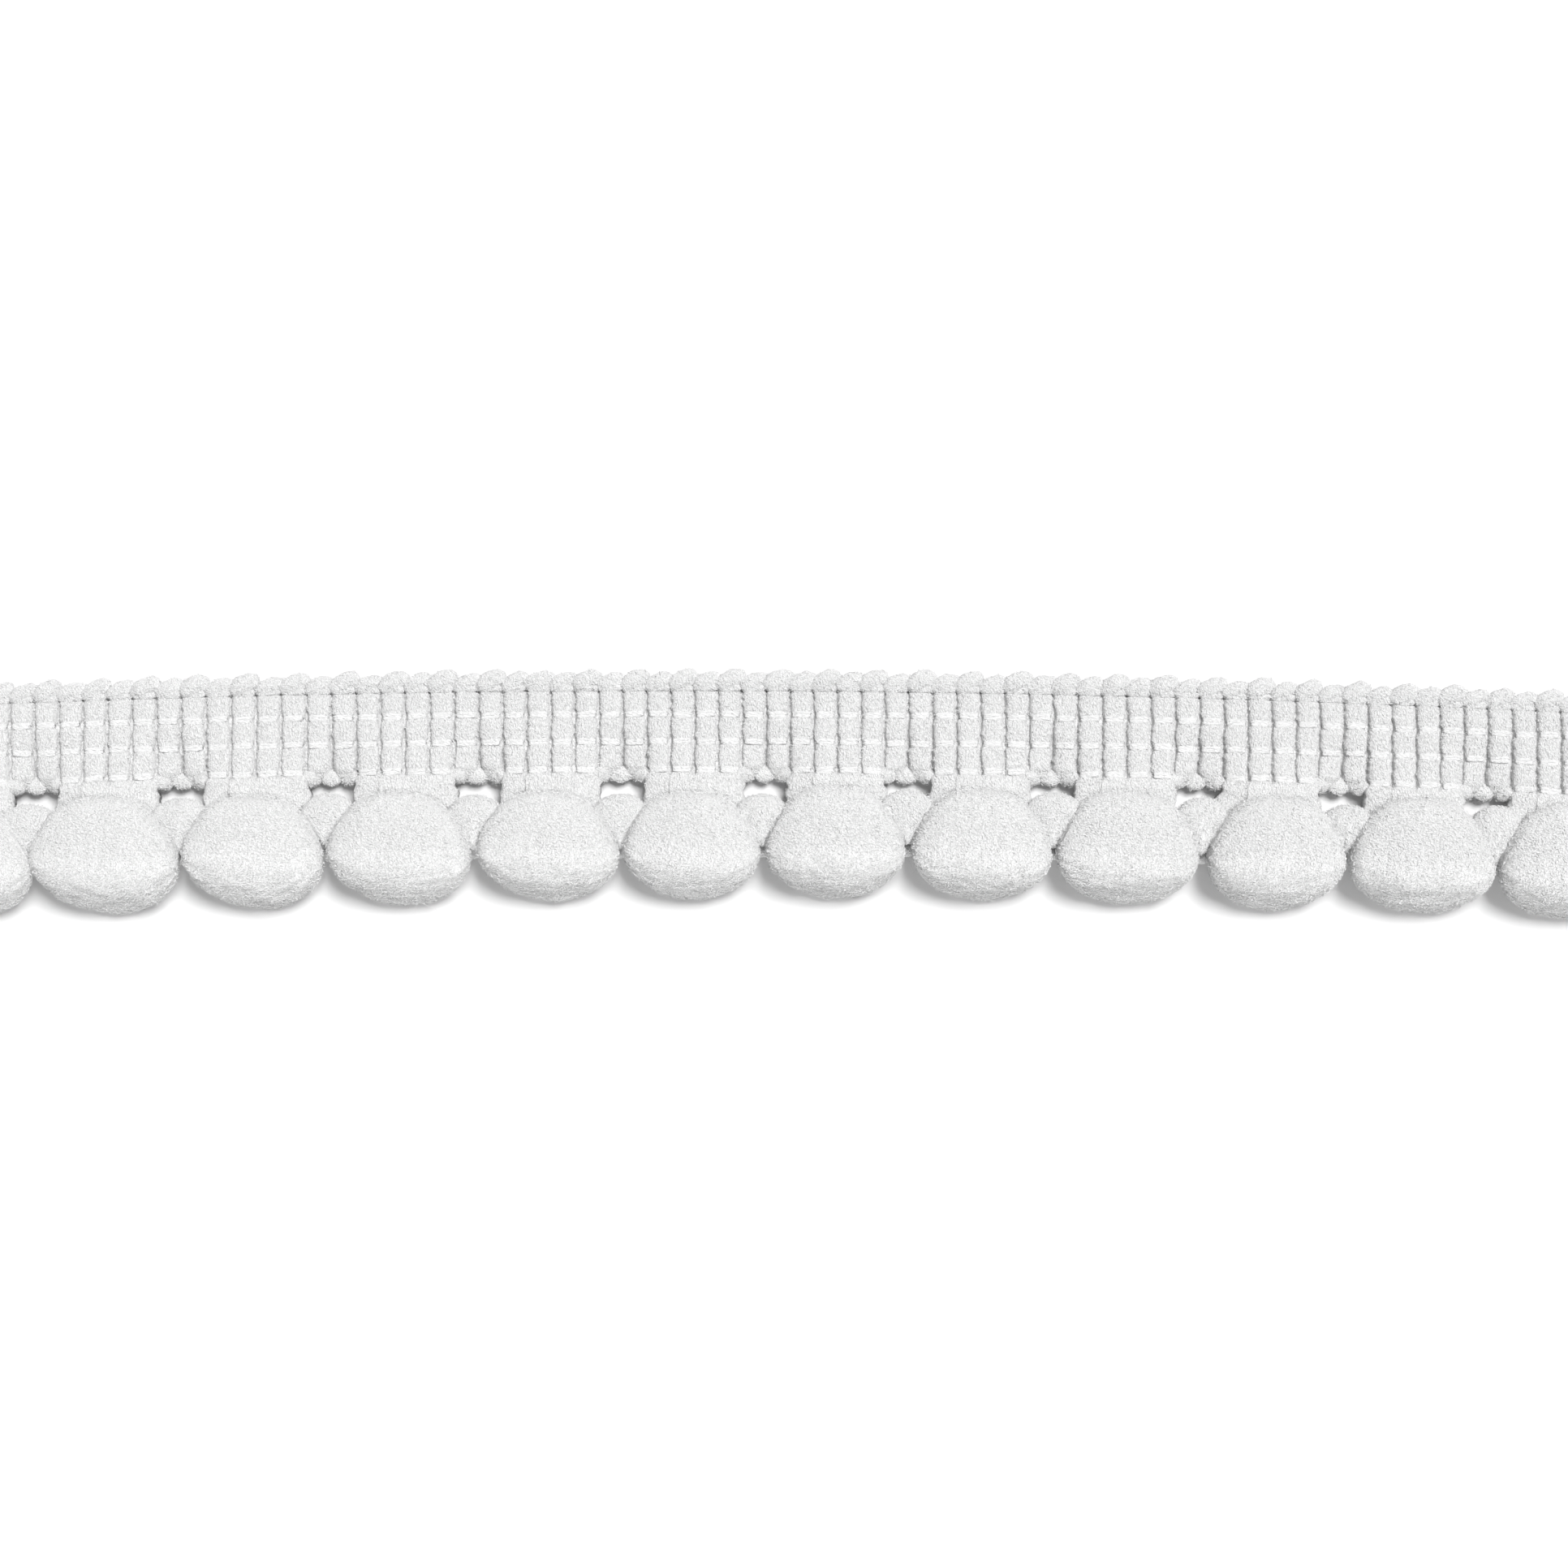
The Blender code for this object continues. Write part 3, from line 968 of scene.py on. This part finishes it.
    def turn_loops(self) -> bmesh.types.BMesh:
        """The yarn that turns back over each hole: three fat lumps that hang over its edge.

        Returns:
            Its mesh on the straight trim.
        """
        bm = bmesh.new()
        for hole in self.lie.starts:
            shift = self.dice.uniform(-0.1, 0.1) - 0.1
            period = self.lump_period * self.dice.uniform(0.96, 1.04)
            places = [-2.5 + 4.8 * share for share in shares(80)]
            shown = [x for x in places if abs(hole + x) < -self.lie.starts[0] - 0.35]
            sections = []
            for number, x in enumerate(shown):
                lump = abs(math.cos(math.pi * (x - shift) / period)) ** 0.7
                away = smooth(1.6, 2.4, abs(x))
                upper = -5.98 - 0.3 * away - 0.24 * (1 - lump)
                lower = -6.78 - 0.67 * lump + 0.3 * away
                s = hole + x
                t = (upper + lower) / 2
                z = self.lie.back(s, t) + 0.7 + 0.1 * lump
                full = rounded(min(number, len(shown) - 1 - number) / 7, 1.0)
                wide = (upper - lower) / 2
                sections.append(Section(Vector((s, t, z)), wide * full, (0.36 + 0.32 * lump) * full))
            sweep(bm, sections, 14)
        roughen(bm, 0.5, 0.08, 9.7)
        return bm

    def picot(self) -> bmesh.types.BMesh:
        """The fat slanted loops along the far edge, every second one standing further out.

        Returns:
            Their mesh on the straight trim.
        """
        bm = bmesh.new()
        for rib in self.all_ribs():
            high = rib.number % 2 == 0
            proud = (0.24 if high else 0.0) + self.dice.gauss(0, 0.05)
            fat = (1.1 if high else 0.97) * self.dice.uniform(0.95, 1.06)
            slant = math.radians(self.picot_slant_deg + self.dice.gauss(0, 4))
            sections = []
            for share in shares(20):
                along = (share - 0.5) * self.picot_length
                s = rib.middle + along * math.cos(slant) + 0.05
                t = 0.66 + proud * share + along * math.sin(slant) * (0.85 - 0.5 * share)
                z = 1.15 - 0.6 * share + 0.14 * math.sin(math.pi * share)
                full = rounded(min(share, 1 - share), 0.42)
                sections.append(Section(Vector((s, t, z)), 0.69 * fat * full, 0.78 * fat * full))
            sweep(bm, sections, 14)
            sweep(bm, self.picot_root(rib), 8)
        roughen(bm, 0.6, 0.1, 5.3)
        return bm

    def picot_root(self, rib: Rib) -> list[Section]:
        """The thin leg of a picot loop, which lies along the crevice.

        Args:
            rib: The rib that it starts from.

        Returns:
            Its sections.
        """
        sections = []
        for share in shares(10):
            s = rib.middle + (share - 0.5) * rib.pitch * 1.02
            t = 0.06 + 0.08 * share
            full = rounded(min(share, 1 - share), 0.2)
            sections.append(Section(Vector((s, t, 1.22)), 0.3 * full, 0.42 * full))
        return sections


@dataclass
class Pompom(Assembly):
    """One puff of looped yarn, tied at both tips, which lies with its tips along the trim.

    upper and lower are its reach above and below its middle height, and sag is how far its lower side
    has settled towards the table, in millimetres.
    """

    index: int
    middle_height: float = 3.25
    upper: float = 3.6
    lower: float = 3.45
    sag: float = 2.55
    sides: int = 112
    steps: int = 64

    def build(self) -> None:
        """Makes the pompom."""
        name = f"pompom_puff_{self.index + 1:02d}"
        node = f"pompom_{self.index + 1:02d}"
        dress = self.wardrobe
        puff = self.maker.piece(name, self.body(), dress.pompom, Slot.POMPOM, dress.felted, [node])

    def body(self) -> bmesh.types.BMesh:
        """The pompom's body: a domed upper side, a bowl below, and layers along its lower side.

        Returns:
            Its mesh on the straight trim, with the attribute strata.
        """
        bm = bmesh.new()
        lying = Matrix.Rotation(math.radians(90), 4, "Y")
        bmesh.ops.create_uvsphere(
            bm, u_segments=self.sides, v_segments=self.steps, radius=1, matrix=lying
        )
        strata = bm.verts.layers.float.new("strata")
        own = Vector((self.index * 7.3, 0, 0))
        for vert in bm.verts:
            u, ring, across, up = on_ball(vert.co, 0)
            bulge = self.upper if up > 0 else self.lower
            s, t = self.lie.pompom_plan(self.index, u, across)
            sag = self.sag * max(0.0, -across) ** 2 * (1 - u**2)
            z = self.middle_height + 0.5 * u**4 - sag + up * bulge * max(0.0, 1 - u * u) ** 0.36
            where = Vector((s, t, z))
            layered = smooth(0.05, 0.9, -across)
            turn = math.atan2(up, across)
            lumps = 0.16 * noise.noise(where / 2.4 + own) + 0.06 * noise.noise(where / 0.9 + own)
            folds = 0.16 * abs(u) ** 5 * math.sin(11 * turn + 4 * noise.noise(where / 3 + own))
            warp = noise.noise(Vector((s / 3.4, t / 1.1, z / 1.1)) + own)
            layer = (turn * 2.3 + 1.2 * warp + self.index * 0.37) % 1.0
            ledge = layer if layer < 0.8 else (1 - layer) * 4
            layers = 0.2 * layered * (ledge - 0.4) * (1 - u**4)
            out = Vector((0, across, up)) * (lumps + folds + layers) * min(1.0, ring * 2)
            # strata also marks where the colour's painted shade in the layers' creases is stronger.
            vert[strata] = layered
            vert.co = where + out
        return bm


@dataclass
class SmallPuff(Assembly):
    """The fan of loops between two pompoms, round above and gathered to a point below.

    upper and lower are its reach above and below its middle height, tuck and beside are how far it goes
    in under the pompom on its right and its left, in millimetres, and crown is the share of its length
    that is round.
    """

    index: int
    middle_height: float = 2.9
    upper: float = 1.6
    lower: float = 2.8
    sides: int = 48
    steps: int = 36
    crown: float = 0.42
    tuck: float = 0.42
    beside: float = -0.3

    def build(self) -> None:
        """Makes the small puff."""
        node = f"small_puff_{self.index + 1:02d}"
        name = f"fan_puff_{self.index + 1:02d}"
        dress = self.wardrobe
        puff = self.maker.piece(name, self.body(), dress.puff, Slot.PUFF, dress.felted, [node])

    def body(self) -> bmesh.types.BMesh:
        """The puff's body, tucked between its two pompoms.

        Returns:
            Its mesh on the straight trim.
        """
        row = FANS[self.index]
        bm = bmesh.new()
        upright = Matrix.Rotation(math.radians(-90), 4, "X")
        bmesh.ops.create_uvsphere(
            bm, u_segments=self.sides, v_segments=self.steps, radius=1, matrix=upright
        )
        own = Vector((0, self.index * 5.9, 3))
        for vert in bm.verts:
            pole, ring, along, up = on_ball(vert.co, 1)
            down = (1 - pole) / 2
            narrowing = min(1.0, (1 - down) / (1 - self.crown))
            fill = rounded(down, self.crown) * narrowing**0.65
            bulge = self.upper if up > 0 else self.lower
            t = row.top + (row.tip - 0.45 - row.top) * down
            s = self.lie.starts[self.index + 1] + row.shift + along * fill * (row.half_width + 0.35)
            s = max(s, self.lie.pompom_side(self.index, 1, t) + self.beside * (1 - down))
            s = min(s, self.lie.pompom_side(self.index + 1, -1, t) + self.tuck)
            plump = rounded(down, self.crown) * narrowing**0.35
            z = self.middle_height + up * plump * bulge
            where = Vector((s, t, z))
            turn = math.atan2(up, along)
            lumps = 0.12 * noise.noise(where / 1.3 + own)
            folds = 0.08 * down**3 * math.sin(9 * turn + 3 * noise.noise(where / 2 + own))
            vert.co = where + Vector((along, 0, up)) * (lumps + folds) * min(1.0, ring * 2)
        return bm


@dataclass
class Ties(Assembly):
    """The short cords that run from one pompom's tip to the next, and the hairs that have come loose."""

    height: float = 1.3
    hair_half_width: float = 0.014
    seed: int = 5

    def build(self) -> None:
        """Makes the ties and the hairs."""
        self.maker.piece("pompom_ties", self.ties(), self.wardrobe.puff, Slot.PUFF)
        self.maker.piece("loose_hairs", self.hairs(), self.wardrobe.strand, Slot.POMPOM)

    def ties(self) -> bmesh.types.BMesh:
        """A cord between each two pompoms, as thick as the gathered yarn.

        Returns:
            Their mesh on the straight trim.
        """
        bm = bmesh.new()
        for index in range(len(REPEATS) - 1):
            left = Vector((*self.lie.pompom_plan(index, 0.93, 0), self.height))
            right = Vector((*self.lie.pompom_plan(index + 1, -0.93, 0), self.height))
            sections = []
            for share in shares(12):
                full = rounded(min(share, 1 - share), 0.3)
                sections.append(Section(left.lerp(right, share), 0.5 * full, 0.8 * full))
            sweep(bm, sections, 12)
        roughen(bm, 0.4, 0.08, 1.7)
        return bm

    def hairs(self) -> bmesh.types.BMesh:
        """Single filaments that have worked out of the yarn.

        Returns:
            Their mesh on the straight trim.
        """
        dice = random.Random(self.seed)
        bm = bmesh.new()
        rooted = ((3, 0.25, -0.95, 7), (7, -0.93, -0.2, 5), (9, -0.93, -0.1, 4), (10, -0.9, 0.1, 3))
        for index, u, across, count in rooted:
            for _ in range(count):
                s, t = self.lie.pompom_plan(index, u + dice.uniform(-0.05, 0.05), across)
                sections = []
                heading = dice.uniform(math.pi, math.tau)
                turn = dice.uniform(-1.9, 1.9)
                length = dice.uniform(0.9, 1.9)
                steps = 14
                here = Vector((s, t, dice.uniform(0.8, 3.0)))
                for share in shares(steps):
                    thick = self.hair_half_width * rounded(min(share, 1 - share), 0.1)
                    sections.append(Section(here.copy(), thick, thick))
                    angle = heading + turn * share
                    here += Vector((math.cos(angle), math.sin(angle), -0.3)) * (length / steps)
                    here.z = max(here.z, 0.03)
                sweep(bm, sections, 5)
        return bm


@dataclass(frozen=True)
class Softbox:
    """A wide soft source far away.

    spread_deg is how wide it looks from the table, elevation_deg how high it stands, and side_deg how far
    it is turned clockwise from the picot edge's side.
    """

    name: str
    strength: float
    spread_deg: float
    elevation_deg: float
    side_deg: float

    def build(self) -> None:
        """Makes the lamp."""
        data = bpy.data.lights.new(self.name, "SUN")
        data.energy = self.strength
        data.angle = math.radians(self.spread_deg)
        lamp = bpy.data.objects.new(self.name, data)
        lift = math.radians(self.elevation_deg)
        side = math.radians(self.side_deg)
        towards = Vector((math.cos(lift) * math.sin(side), math.cos(lift) * math.cos(side), math.sin(lift)))
        lamp.rotation_euler = (-towards).to_track_quat("-Z", "Y").to_euler()
        lamp.location = towards
        bpy.context.scene.collection.objects.link(lamp)


@dataclass
class Studio:
    """A white table under soft light from the far side, and the camera almost straight above.

    view_width and view_middle are in millimetres of the straight trim, table_reach is in metres.
    """

    lie: Lie
    view_width: float = 123.6
    view_middle: tuple[float, float] = (1.82, -7.49)
    elevation_deg: float = 88.0
    roll_deg: float = 0.25
    lens: float = 85.0
    world: float = 0.24
    table_glow: float = 0.03
    table_reach: float = 1.5
    softboxes: tuple[Softbox, ...] = (
        Softbox("far_softbox", strength=3.2, spread_deg=25.0, elevation_deg=66.0, side_deg=38.0),
        Softbox("near_board", strength=1.9, spread_deg=24.0, elevation_deg=9.0, side_deg=180.0),
    )

    def build(self) -> None:
        """Makes the table, the lights and the camera."""
        self.table()
        for softbox in self.softboxes:
            softbox.build()
        world = bpy.data.worlds.new("soft_room")
        world.use_nodes = True
        set_sockets(world.node_tree.nodes["Background"], {"Color": (1, 1, 1, 1), "Strength": self.world})
        bpy.context.scene.world = world
        bpy.context.scene.view_settings.view_transform = "Standard"
        self.camera()

    def table(self) -> None:
        """Makes the table's matt white top."""
        bm = bmesh.new()
        bmesh.ops.create_grid(bm, x_segments=1, y_segments=1, size=self.table_reach)
        mesh = bpy.data.meshes.new("table_top")
        bm.to_mesh(mesh)
        bm.free()
        top = bpy.data.objects.new("table_top", mesh)
        bpy.context.scene.collection.objects.link(top)
        material = bpy.data.materials.new("matt_white_board")
        material.use_nodes = True
        matt = {
            "Base Color": linear("#F8F8F8"),
            "Emission Color": (1, 1, 1, 1),
            "Emission Strength": self.table_glow,
            "Roughness": 1.0,
            "Specular IOR Level": 0.0,
        }
        set_sockets(material.node_tree.nodes["Principled BSDF"], matt)
        mesh.materials.append(material)

    def camera(self) -> None:
        """Makes the camera, so that its view is as wide as the photograph's."""
        data = bpy.data.cameras.new("camera")
        data.lens = self.lens
        camera = bpy.data.objects.new("camera", data)
        target = self.lie.place(Vector((*self.view_middle, 2.0)))
        distance = self.view_width / 2 * MM * self.lens / (data.sensor_width / 2)
        lift = math.radians(self.elevation_deg)
        towards = Vector((0, -math.cos(lift), math.sin(lift)))
        camera.location = target + towards * distance
        turn = Matrix.Rotation(math.radians(self.roll_deg), 4, towards)
        look = (-towards).to_track_quat("-Z", "Y").to_matrix().to_4x4()
        camera.rotation_euler = (turn @ look).to_euler()
        data.clip_start, data.clip_end = 0.01, 10.0
        bpy.context.scene.collection.objects.link(camera)
        bpy.context.scene.camera = camera


def main() -> None:
    """Builds the trim and the studio around it."""
    logging.basicConfig(level=logging.INFO, format="%(name)s: %(message)s")
    noise.seed_set(NOISE_SEED)
    lie = Lie()
    maker = Maker(lie)
    wardrobe = Wardrobe()
    Heading(lie, maker, wardrobe).build()
    for index in range(len(REPEATS)):
        Pompom(lie, maker, wardrobe, index).build()
    for index in range(len(FANS)):
        SmallPuff(lie, maker, wardrobe, index).build()
    Ties(lie, maker, wardrobe).build()
    Studio(lie).build()
    log.info("%d pieces", len(maker.made))


if __name__ == "__main__":
    main()
